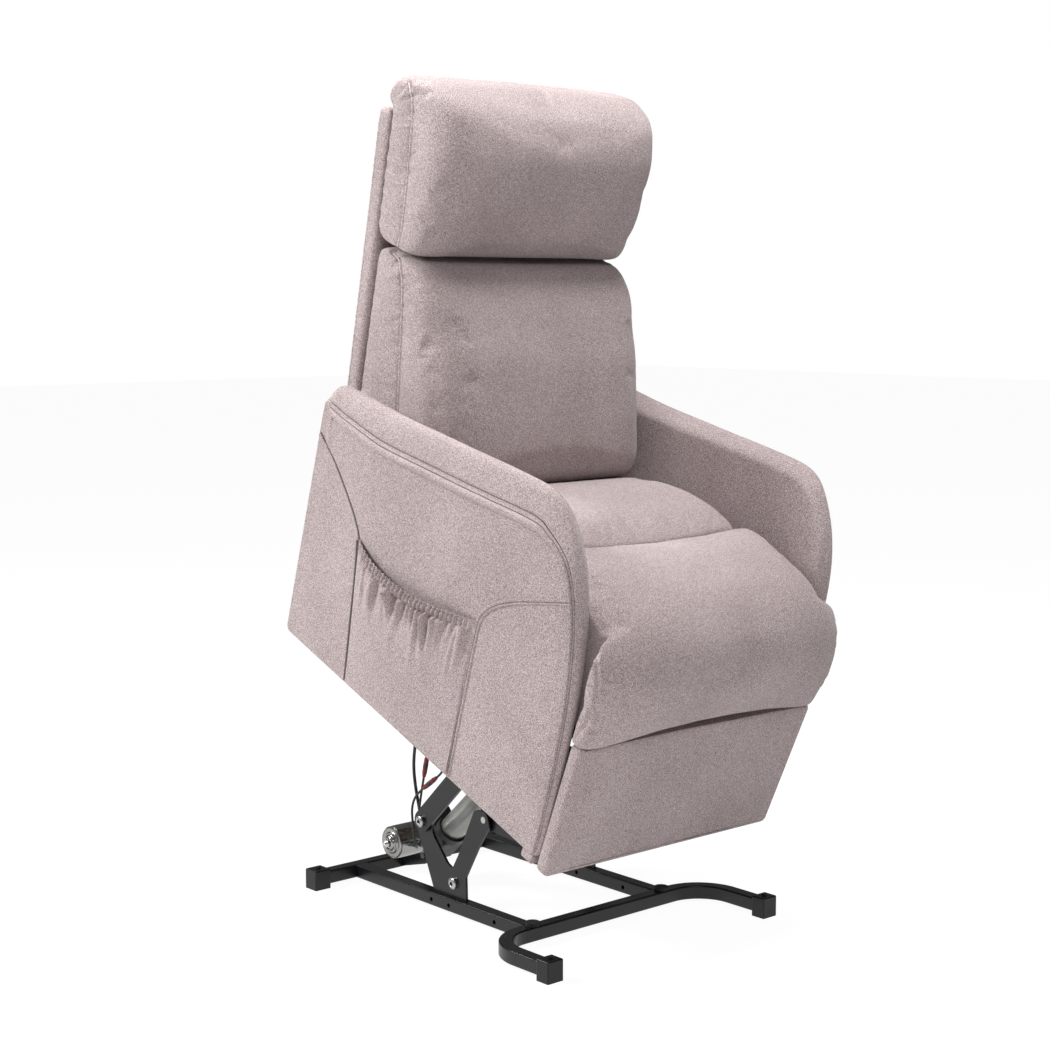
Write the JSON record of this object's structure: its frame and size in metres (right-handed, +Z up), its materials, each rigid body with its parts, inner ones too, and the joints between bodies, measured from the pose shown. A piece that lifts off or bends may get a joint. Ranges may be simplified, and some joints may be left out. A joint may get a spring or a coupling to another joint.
{
  "type": "lift recliner chair",
  "caption": "Upholstered recliner on a steel floor frame, raised and tilted forward by a motor-driven linkage to help its user stand up.",
  "frame": {"origin": "on the floor under the middle of the raised chair's bounding box", "axes": "+Z up, the sitter faces -Y, +X to the sitter's left"},
  "size_m": [0.6844, 0.854, 1.4957],
  "materials": {
    "frame_black": "semi-gloss black powder coat",
    "cap_plastic": "satin black moulded plastic",
    "pad_rubber": "matt black rubber",
    "bolt_steel": "bright zinc-plated steel",
    "motor_metal": "polished motor can",
    "barrel_grey": "satin grey anodised tube",
    "gear_plastic": "black moulded housing",
    "rod_steel": "ground steel rod",
    "board_wood": "plain plywood",
    "cover_fabric": "heathered taupe woven fabric",
    "lead_rubber": "black sheath",
    "plug_red": "dark red moulded plastic",
    "box_plastic": "black moulded housing"
  },
  "bodies": {
    "base": {"base_rear_bar": "frame_black", "base_front_bar": "frame_black", "base_rail_l": "frame_black", "base_rail_r": "frame_black", "foot_cap_rear_l": "cap_plastic", "foot_cap_rear_r": "cap_plastic", "foot_cap_front_l": "cap_plastic", "foot_cap_front_r": "cap_plastic", "foot_cap_screws": "cap_plastic", "stop_pads": "pad_rubber", "riser_plate_l": "frame_black", "riser_plate_r": "frame_black", "riser_bolts": "bolt_steel", "rear_pivot_bolts": "bolt_steel", "front_pivot_bolts": "bolt_steel", "actuator_clevis": "frame_black", "actuator_tail_pin": "bolt_steel", "motor_lead": "lead_rubber", "connector_wire_a": "lead_rubber", "connector_wire_b": "lead_rubber", "connectors": "plug_red"},
    "lift_arm": {"lift_link_rear_l": "frame_black", "lift_link_rear_r": "frame_black", "chair_pivot_pins": "bolt_steel"},
    "front_link": {"lift_link_front_l": "frame_black", "lift_link_front_r": "frame_black"},
    "actuator": {"gearbox_housing": "gear_plastic", "motor_can": "motor_metal", "motor_end_cap": "motor_metal", "motor_shaft": "bolt_steel", "actuator_barrel": "barrel_grey"},
    "actuator_slide": {"actuator_rod": "rod_steel", "rod_end": "frame_black"},
    "chair": {"lift_rail_l": "frame_black", "lift_rail_r": "frame_black", "lift_cross_rear": "frame_black", "lift_cross_front": "frame_black", "front_link_hooks": "frame_black", "actuator_yoke": "frame_black", "rear_board": "board_wood", "seat_frame": "board_wood", "arm_l": "cover_fabric", "arm_r": "cover_fabric", "seat_cushion": "cover_fabric", "seat_roll": "cover_fabric", "side_pocket": "cover_fabric", "recline_hinges": "frame_black", "legrest_brackets": "frame_black", "control_box": "box_plastic"},
    "back": {"back_shell": "cover_fabric", "lumbar_cushion": "cover_fabric", "head_cushion": "cover_fabric"},
    "legrest_arm": {"legrest_arm_l": "frame_black", "legrest_arm_r": "frame_black", "legrest_tie": "frame_black", "legrest_knee_pins": "bolt_steel"},
    "legrest_link": {"legrest_link_l": "frame_black", "legrest_link_r": "frame_black"},
    "footrest": {"footrest_panel": "cover_fabric", "footrest_lugs": "frame_black"}
  },
  "joints": [
    {"name": "lift", "type": "hinge", "parent": "base", "child": "lift_arm", "pos_m": [0, 0.1906, 0.157], "axis": [1, 0, 0], "range_deg": [0, 62], "deforming": ["motor_lead", "connector_wire_a", "connector_wire_b", "connectors"]},
    {"name": "chair_pivot", "type": "hinge", "parent": "lift_arm", "child": "chair", "pos_m": [0, 0.00294, 0.33696], "axis": [1, 0, 0], "range_deg": [-85.2, 0]},
    {"name": "front_link_pivot", "type": "hinge", "parent": "base", "child": "front_link", "pos_m": [0, 0.022, 0.192], "axis": [1, 0, 0], "range_deg": [0, 77]},
    {"name": "actuator_tail", "type": "hinge", "parent": "base", "child": "actuator", "pos_m": [0, 0.32, 0.045], "axis": [1, 0, 0], "range_deg": [0, 42.2]},
    {"name": "actuator_stroke", "type": "slide", "parent": "actuator", "child": "actuator_slide", "axis": [0, -0.743, 0.6693], "range_m": [-0.033, 0]},
    {"name": "recline", "type": "hinge", "parent": "chair", "child": "back", "pos_m": [0, 0.30926, 0.79795], "axis": [-1, 0, 0], "range_deg": [0, 35]},
    {"name": "legrest", "type": "hinge", "parent": "chair", "child": "legrest_arm", "pos_m": [0, -0.1421, 0.47888], "axis": [-1, 0, 0], "range_deg": [0, 36.5]},
    {"name": "legrest_knee", "type": "hinge", "parent": "legrest_arm", "child": "legrest_link", "pos_m": [0, -0.16629, 0.34099], "axis": [-1, 0, 0], "range_deg": [-73.1, 0]},
    {"name": "footrest_tip", "type": "hinge", "parent": "legrest_link", "child": "footrest", "pos_m": [0, -0.28209, 0.41966], "axis": [-1, 0, 0], "range_deg": [0, 121.6]}
  ],
  "couplings": [
    {"joint": "chair_pivot", "follows": "lift", "ratio": -1.3698},
    {"joint": "front_link_pivot", "follows": "lift", "ratio": 1.2271},
    {"joint": "actuator_tail", "follows": "lift", "ratio": 0.6761},
    {"joint": "actuator_stroke", "follows": "lift", "m_per_rad": -0.029916},
    {"joint": "legrest_knee", "follows": "legrest", "ratio": -2},
    {"joint": "footrest_tip", "follows": "legrest", "ratio": 3.3288}
  ]
}
